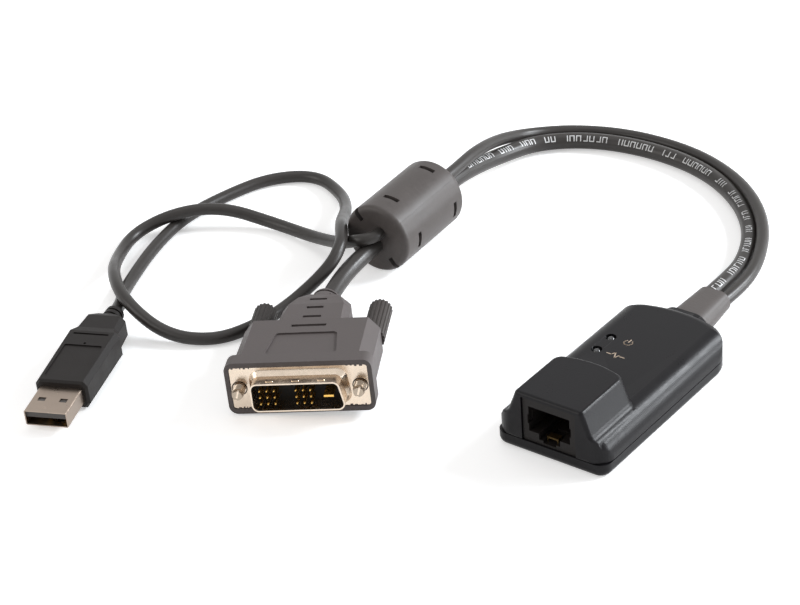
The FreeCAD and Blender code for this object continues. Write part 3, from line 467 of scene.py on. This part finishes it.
def make_cable_print(start, end):
    """Row of plain strokes in groups along the jacket."""
    dice = random.Random(PRINT_SEED)
    line = line_of(video_cord)
    build = bmesh.new()
    distance = start
    half = PRINT_HEIGHT / 2
    while distance < end:
        for _ in range(dice.choice(GROUP_SIZES)):
            kind = dice.choice("ilbd")
            add_mark(build, line, distance, PRINT_STROKE, -half, half)
            if kind != "i":
                top = half if kind in "lb" else -half + PRINT_STROKE
                add_mark(build, line, distance + BAR_AT, BAR_WIDTH, top - PRINT_STROKE, top)
            if kind in "bd":
                add_mark(build, line, distance + SECOND_STROKE_AT, PRINT_STROKE, -half, half)
            distance += THIN_STEP if kind == "i" else WIDE_STEP
        distance += GROUP_GAP
    return finish_piece(build, "cable_print", PRINT, Matrix.Identity(4),
                        turn_out=False)


cable_print = make_cable_print(*PRINT_SPAN)


NIB_SEED = 3
NIB_SPAN = (12.6, 17.0)
NIB_WIDTHS = (0.25, 0.9)
NIB_DEPTHS = (0.15, 0.5)
NIB_GAPS = (0.3, 0.8)
NIB_EDGE = 6.05
NIB_ROOT = 6.3
NIB_FRONT = -0.12
NIB_BACK = 0.1
NIB_ROUND = 0.05


def make_plate_nibs():
    """Ragged moulding flash over the steel plate's long edges, near its corners."""
    dice = random.Random(NIB_SEED)
    build = bmesh.new()
    for side in (-1, 1):
        for edge in (-1, 1):
            x, stop = NIB_SPAN
            while x < stop:
                width = dice.uniform(*NIB_WIDTHS)
                depth = dice.uniform(*NIB_DEPTHS)
                ends = sorted((side * x, side * (x + width)))
                heights = sorted((edge * (NIB_EDGE - depth), edge * NIB_ROOT))
                add_block(build, (ends[0], NIB_FRONT, heights[0]),
                          (ends[1], NIB_BACK, heights[1]), NIB_ROUND)
                x += width + dice.uniform(*NIB_GAPS)
    return finish_piece(build, "plate_nibs", HOOD, VIDEO_AXES)


make_plate_nibs()


def add_prism(build, outline, low, high):
    """Prism along Y from an outline in X and Z."""
    face = build.faces.new([build.verts.new((x, low, z)) for x, z in outline])
    made = bmesh.ops.extrude_face_region(build, geom=[face])["geom"]
    verts = [item for item in made if isinstance(item, bmesh.types.BMVert)]
    bmesh.ops.translate(build, verts=verts, vec=(0, high - low, 0))


def round_part(centre, radius, first, last, steps):
    """Points of an arc in X and Z."""
    angles = [first + (last - first) * step / steps for step in range(steps + 1)]
    return [(centre + radius * math.cos(angle), radius * math.sin(angle)) for angle in angles]


TIP_RADIUS = 1.46
TIP_END_RADIUS = 1.31
TIP_END = -4.0
TIP_ROOT = -0.4
TIP_STEPS = 40
HALF_STEPS = 18
SLOT_HALF = 0.28
SLOT_DEPTH = 0.55
SLOT_TURN = math.radians(72)


def add_slotted_tip(build, side):
    """Round core of the thread, with a driver slot across its end."""
    centre = side * SCREW_X
    full_turn = 2 * math.pi * (TIP_STEPS - 1) / TIP_STEPS
    outline = round_part(centre, TIP_RADIUS, 0, full_turn, TIP_STEPS - 1)
    add_prism(build, outline, TIP_END + SLOT_DEPTH, TIP_ROOT)
    first = math.asin(SLOT_HALF / TIP_END_RADIUS)
    for turn in (SLOT_TURN, SLOT_TURN + math.pi):
        outline = round_part(centre, TIP_END_RADIUS, turn + first, turn + math.pi - first,
                             HALF_STEPS)
        add_prism(build, outline, TIP_END, TIP_END + SLOT_DEPTH)


THREAD_PITCH = 0.635
THREAD_TURNS = 4
THREAD_STEPS = 20
THREAD_START = -2.95
THREAD_ROWS = ((1.36, -0.26), (1.62, -0.04), (1.62, 0.04), (1.36, 0.26))


def make_thread(name, side):
    """Rolled thread and slotted tip of a thumbscrew."""
    build = bmesh.new()
    verts = [build.verts.new((radius, y + THREAD_START, 0)) for radius, y in THREAD_ROWS]
    edges = [build.edges.new(pair) for pair in zip(verts, verts[1:])]
    bmesh.ops.spin(build, geom=verts + edges, cent=(0, 0, 0), axis=(0, 1, 0),
                   dvec=(0, THREAD_PITCH / THREAD_STEPS, 0), angle=2 * math.pi * THREAD_TURNS,
                   steps=THREAD_STEPS * THREAD_TURNS)
    bmesh.ops.translate(build, verts=build.verts, vec=(side * SCREW_X, 0, 0))
    add_slotted_tip(build, side)
    body = "left_thumbscrew" if side < 0 else "right_thumbscrew"
    return finish_piece(build, name, STEEL, VIDEO_AXES, body)


video_extras = [make_thread("left_thread", -1), make_thread("right_thread", 1)]


MOULD_LOW = -5
MOULD_HIGH = 40
MOULD_BACK = 60
MOULD_ROOM = 0.01
CORNER_STEPS = 10
WELD = 0.001 * MM


def upright_at_front(edge):
    """Whether an edge of the mould is one of its two upright front edges."""
    first, second = (vert.co for vert in edge.verts)
    return first.y < 0 and second.y < 0 and first.x == second.x and first.y == second.y


def final_mesh(piece):
    """Mesh of a piece with its modifiers applied."""
    return bpy.data.meshes.new_from_object(
        piece.evaluated_get(bpy.context.evaluated_depsgraph_get()))


def make_mould():
    """Block as wide as the pod, with its front corners rounded."""
    across, along = (half + MOULD_ROOM for half in POD_HALF)
    mould = bmesh.new()
    add_block(mould, (-across, -along, MOULD_LOW), (across, MOULD_BACK, MOULD_HIGH))
    corners = [edge for edge in mould.edges if upright_at_front(edge)]
    round_edges(mould, corners, FRONT_CORNER, CORNER_STEPS)
    bmesh.ops.transform(mould, matrix=POD_AXES, verts=mould.verts)
    bmesh.ops.recalc_face_normals(mould, faces=mould.faces)
    return show("shell_mould", to_mesh(mould, "shell_mould"))


def make_shell_skin():
    """Upper shell with its front corners rounded right down the foot of the raised cover."""
    mould = make_mould()
    build = bmesh.new()
    build.from_mesh(NODES["upper_shell"].data)
    bmesh.ops.remove_doubles(build, verts=build.verts, dist=WELD)
    skin = show("upper_shell_skin", to_mesh(build, "upper_shell_skin"))
    trim = skin.modifiers.new("front_corners", "BOOLEAN")
    trim.operation = "INTERSECT"
    trim.solver = "EXACT"
    trim.object = mould
    shaped = final_mesh(skin)
    skin.modifiers.clear()
    skin.data = shaped
    shaped.materials.clear()
    shaped.materials.append(POD)
    shaped.shade_smooth()
    shaped.set_sharp_from_angle(angle=SHELL_SHARP_ANGLE)
    weigh = skin.modifiers.new("flat_faces", "WEIGHTED_NORMAL")
    weigh.weight = 100
    weigh.keep_sharp = True
    skin.data = final_mesh(skin)
    skin.modifiers.clear()
    bpy.data.objects.remove(mould)
    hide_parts("upper_shell")
    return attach(skin, "root")


make_shell_skin()


SEAM_ANGLES = (40, 220)
SEAM_SIZE = (0.1, 28.6, 0.14)
SEAM_ROUND = 0.03


def make_ferrite_seam():
    """Parting line of the moulded jacket, on two sides."""
    build = bmesh.new()
    for angle in SEAM_ANGLES:
        turn = Matrix.Rotation(math.radians(-angle), 4, "Y")
        place = Matrix.Translation((FERRITE_RADIUS, 0, 0)) @ Matrix.Diagonal((*SEAM_SIZE, 1))
        made = bmesh.ops.create_cube(build, size=1.0, matrix=turn @ place)
        round_edges(build, edges_of(made["verts"]), SEAM_ROUND, 1)
    return finish_piece(build, "ferrite_seam", FERRITE, FERRITE_AXES)


ferrite_seam = make_ferrite_seam()


USB_TOP = 2.25
WELD_MARKS = ((-0.9, 2.3, 0.22), (-0.5, 1.7, 0.16), (0.2, 3.3, 0.14), (0.3, 8.6, 0.25))
WELD_FLATNESS = 0.35


def make_weld_marks():
    """Small weld marks on top of the plug's metal mouth."""
    build = bmesh.new()
    for x, y, radius in WELD_MARKS:
        made = bmesh.ops.create_uvsphere(build, u_segments=12, v_segments=8, radius=radius)
        bmesh.ops.scale(build, verts=made["verts"], vec=(1, 1, WELD_FLATNESS))
        bmesh.ops.translate(build, verts=made["verts"], vec=(x, y, USB_TOP))
    return finish_piece(build, "usb_weld_marks", SMOOTH_NICKEL, USB_AXES)


usb_marks = make_weld_marks()


# ---------------------------------------------------------------- floor, light and camera


FLOOR_GLOW = 0.42
FLOOR_HALF = 6.0
FLOOR_SHADE = 0.95
FILL = 0.34
COOL = (0.92, 0.96, 1.0)
WARM = (1.0, 0.97, 0.94)
PLAIN = (1, 1, 1)


def background_rays(tree):
    """1 where a camera, mirror or glass ray looks at a surface, and 0 where it is lit by it."""
    rays = tree.nodes.new("ShaderNodeLightPath")
    seen = math_node(tree, "MAXIMUM", rays.outputs["Is Camera Ray"],
                     rays.outputs["Is Transmission Ray"])
    return math_node(tree, "MAXIMUM", seen, rays.outputs["Is Glossy Ray"])


def make_floor():
    """White floor, which glows a little where it is seen or mirrored."""
    build = bmesh.new()
    bmesh.ops.create_grid(build, x_segments=1, y_segments=1, size=FLOOR_HALF)
    floor = show("floor", to_mesh(build, "floor"))
    material = bpy.data.materials.new("white_floor")
    material.use_nodes = True
    tree = material.node_tree
    shader = tree.nodes["Principled BSDF"]
    shader.inputs["Base Color"].default_value = (FLOOR_SHADE, FLOOR_SHADE, FLOOR_SHADE, 1)
    shader.inputs["Roughness"].default_value = 0.9
    shader.inputs["Specular IOR Level"].default_value = 0.1
    shader.inputs["Emission Color"].default_value = (1, 1, 1, 1)
    glow = math_node(tree, "MULTIPLY", background_rays(tree), FLOOR_GLOW)
    tree.links.new(glow, shader.inputs["Emission Strength"])
    floor.data.materials.append(material)


def make_world():
    """White where it is seen or mirrored, and a dim fill where it lights the object."""
    world = bpy.data.worlds.new("studio")
    bpy.context.scene.world = world
    world.use_nodes = True
    tree = world.node_tree
    shown = tree.nodes["Background"]
    shown.inputs["Color"].default_value = (1, 1, 1, 1)
    lit = add(tree, "ShaderNodeBackground", Color=(1, 1, 1, 1), Strength=FILL)
    mix = tree.nodes.new("ShaderNodeMixShader")
    tree.links.new(background_rays(tree), mix.inputs[0])
    tree.links.new(lit.outputs[0], mix.inputs[1])
    tree.links.new(shown.outputs[0], mix.inputs[2])
    tree.links.new(mix.outputs[0], tree.nodes["World Output"].inputs[0])


def make_lamp(name, place, power, width, height, colour):
    """Soft lamp in watts, turned to the object."""
    lamp = bpy.data.lights.new(name, "AREA")
    lamp.shape = "RECTANGLE"
    lamp.size = width
    lamp.size_y = height
    lamp.energy = power
    lamp.color = colour
    holder = show(name, lamp)
    holder.location = place
    holder.rotation_mode = "QUATERNION"
    holder.rotation_quaternion = (CAMERA_AIM - Vector(place)).to_track_quat("-Z", "Y")


def make_camera():
    """Camera turned and raised about the point that it looks at."""
    turn = math.radians(CAMERA_TURN)
    rise = math.radians(CAMERA_HEIGHT)
    outward = Vector((math.sin(turn) * math.cos(rise), -math.cos(turn) * math.cos(rise),
                      math.sin(rise)))
    lens = bpy.data.cameras.new("camera")
    lens.lens = CAMERA_LENS
    lens.sensor_width = SENSOR
    lens.clip_start = 0.02
    lens.clip_end = 20
    camera = show("camera", lens)
    camera.location = CAMERA_AIM + outward * CAMERA_DISTANCE
    camera.rotation_mode = "QUATERNION"
    roll = Quaternion((0, 0, 1), math.radians(CAMERA_ROLL))
    camera.rotation_quaternion = (-outward).to_track_quat("-Z", "Y") @ roll
    bpy.context.scene.camera = camera


make_floor()
make_world()
make_lamp("right_lamp", (0.74, 0.62, 0.16), 7.0, 0.5, 0.3, COOL)
make_lamp("edge_lamp", (0.5, 0.7, 0.55), 11.0, 0.3, 0.3, COOL)
make_lamp("left_lamp", (-0.6, -0.7, 0.5), 3.5, 0.8, 0.5, WARM)
make_lamp("top_lamp", (-0.3, 0.2, 1.2), 1.8, 0.7, 0.7, PLAIN)
make_camera()
bpy.context.scene.view_settings.view_transform = "Standard"
